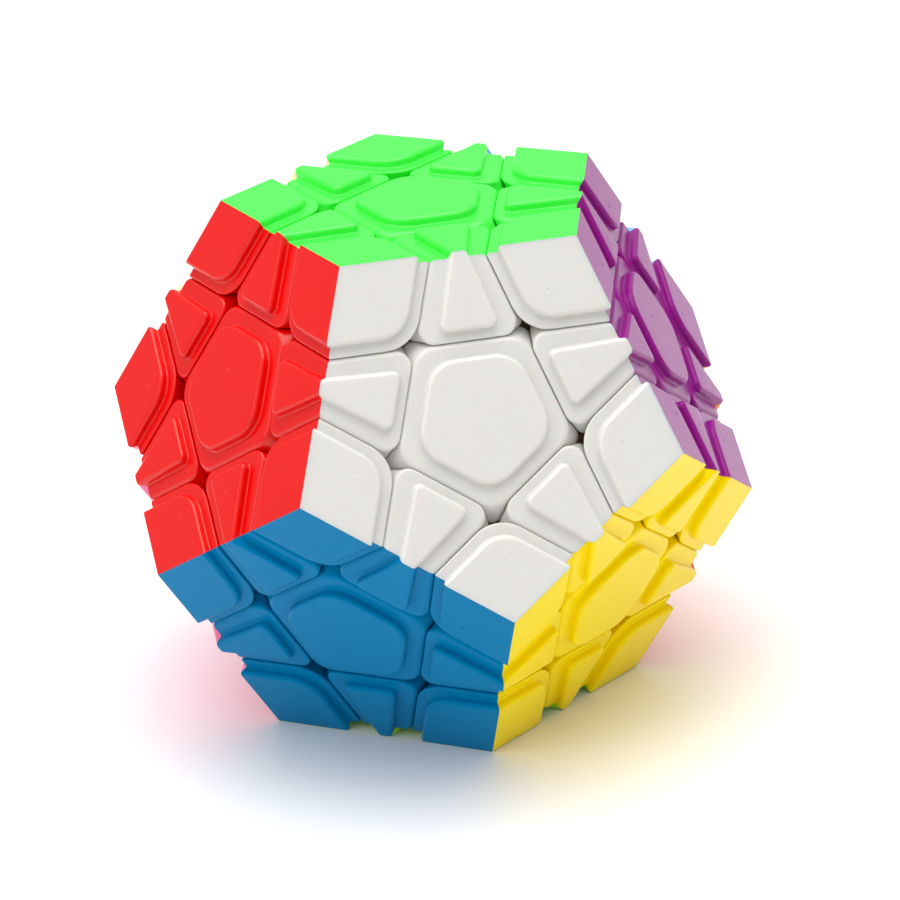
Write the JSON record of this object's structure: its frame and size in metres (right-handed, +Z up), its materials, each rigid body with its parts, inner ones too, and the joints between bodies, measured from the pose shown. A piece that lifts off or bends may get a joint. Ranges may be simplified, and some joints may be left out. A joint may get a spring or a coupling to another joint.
{
  "type": "twelve-sided turning puzzle",
  "caption": "Twelve-sided turning puzzle of raised coloured tiles on ledges, resting on one face, with face layers that turn about their centres.",
  "frame": {"origin": "middle of the face that it stands on, at table height", "axes": "+Z up through the green top face; the white face looks toward -Y and a little upward; +X to the right seen from the white side"},
  "size_m": [0.0864, 0.0908, 0.0735],
  "materials": {
    "green_plastic": "satin moulded ABS, coloured right through",
    "white_plastic": "satin moulded ABS, coloured right through",
    "purple_plastic": "satin moulded ABS, coloured right through",
    "sky_plastic": "satin moulded ABS, coloured right through",
    "cream_plastic": "satin moulded ABS, coloured right through",
    "red_plastic": "satin moulded ABS, coloured right through",
    "yellow_plastic": "satin moulded ABS, coloured right through",
    "orange_plastic": "satin moulded ABS, coloured right through",
    "grey_plastic": "satin moulded ABS, coloured right through",
    "pink_plastic": "satin moulded ABS, coloured right through",
    "blue_plastic": "satin moulded ABS, coloured right through",
    "lime_plastic": "satin moulded ABS, coloured right through",
    "inner_plastic": "dark moulded plastic, low sheen",
    "steel": "plated steel"
  },
  "bodies": {
    "still_frame": {"cap_white": "white_plastic", "cap_purple": "purple_plastic", "cap_sky": "sky_plastic", "cap_cream": "cream_plastic", "cap_red": "red_plastic", "cap_yellow": "yellow_plastic", "cap_orange": "orange_plastic", "cap_pink": "pink_plastic", "cap_lime": "lime_plastic", "white_tiles_still": "white_plastic", "purple_tiles_still": "purple_plastic", "sky_tiles_still": "sky_plastic", "cream_tiles_still": "cream_plastic", "red_tiles_still": "red_plastic", "yellow_tiles_still": "yellow_plastic", "orange_tiles_still": "orange_plastic", "pink_tiles_still": "pink_plastic", "lime_tiles_still": "lime_plastic", "hubs_still": "inner_plastic", "edge_feet_still": "inner_plastic", "corner_feet_still": "inner_plastic", "core_top": "inner_plastic", "core_bottom": "inner_plastic", "screws": "steel", "washers": "steel", "springs": "steel"},
    "green_layer": {"cap_green": "green_plastic", "green_edge_tiles": "green_plastic", "green_corner_tiles": "green_plastic", "white_tiles_on_green": "white_plastic", "purple_tiles_on_green": "purple_plastic", "sky_tiles_on_green": "sky_plastic", "cream_tiles_on_green": "cream_plastic", "red_tiles_on_green": "red_plastic", "hub_green": "inner_plastic", "edge_feet_green": "inner_plastic", "corner_feet_green": "inner_plastic"},
    "blue_layer": {"cap_blue": "blue_plastic", "blue_edge_tiles": "blue_plastic", "blue_corner_tiles": "blue_plastic", "white_tiles_on_blue": "white_plastic", "red_tiles_on_blue": "red_plastic", "yellow_tiles_on_blue": "yellow_plastic", "pink_tiles_on_blue": "pink_plastic", "lime_tiles_on_blue": "lime_plastic", "hub_blue": "inner_plastic", "edge_feet_blue": "inner_plastic", "corner_feet_blue": "inner_plastic"},
    "grey_layer": {"cap_grey": "grey_plastic", "grey_edge_tiles": "grey_plastic", "grey_corner_tiles": "grey_plastic", "sky_tiles_on_grey": "sky_plastic", "cream_tiles_on_grey": "cream_plastic", "orange_tiles_on_grey": "orange_plastic", "pink_tiles_on_grey": "pink_plastic", "lime_tiles_on_grey": "lime_plastic", "hub_grey": "inner_plastic", "edge_feet_grey": "inner_plastic", "corner_feet_grey": "inner_plastic"}
  },
  "joints": [
    {"name": "green_turn", "type": "hinge", "parent": "still_frame", "child": "green_layer", "pos_m": [0, 0, 0.03675], "axis": [0, 0, 1], "continuous": true},
    {"name": "blue_turn", "type": "hinge", "parent": "still_frame", "child": "blue_layer", "pos_m": [0, 0, 0.03675], "axis": [-0.5257, -0.7236, -0.4472], "continuous": true},
    {"name": "grey_turn", "type": "hinge", "parent": "still_frame", "child": "grey_layer", "pos_m": [0, 0, 0.03675], "axis": [0, 0.8944, -0.4472], "continuous": true}
  ]
}
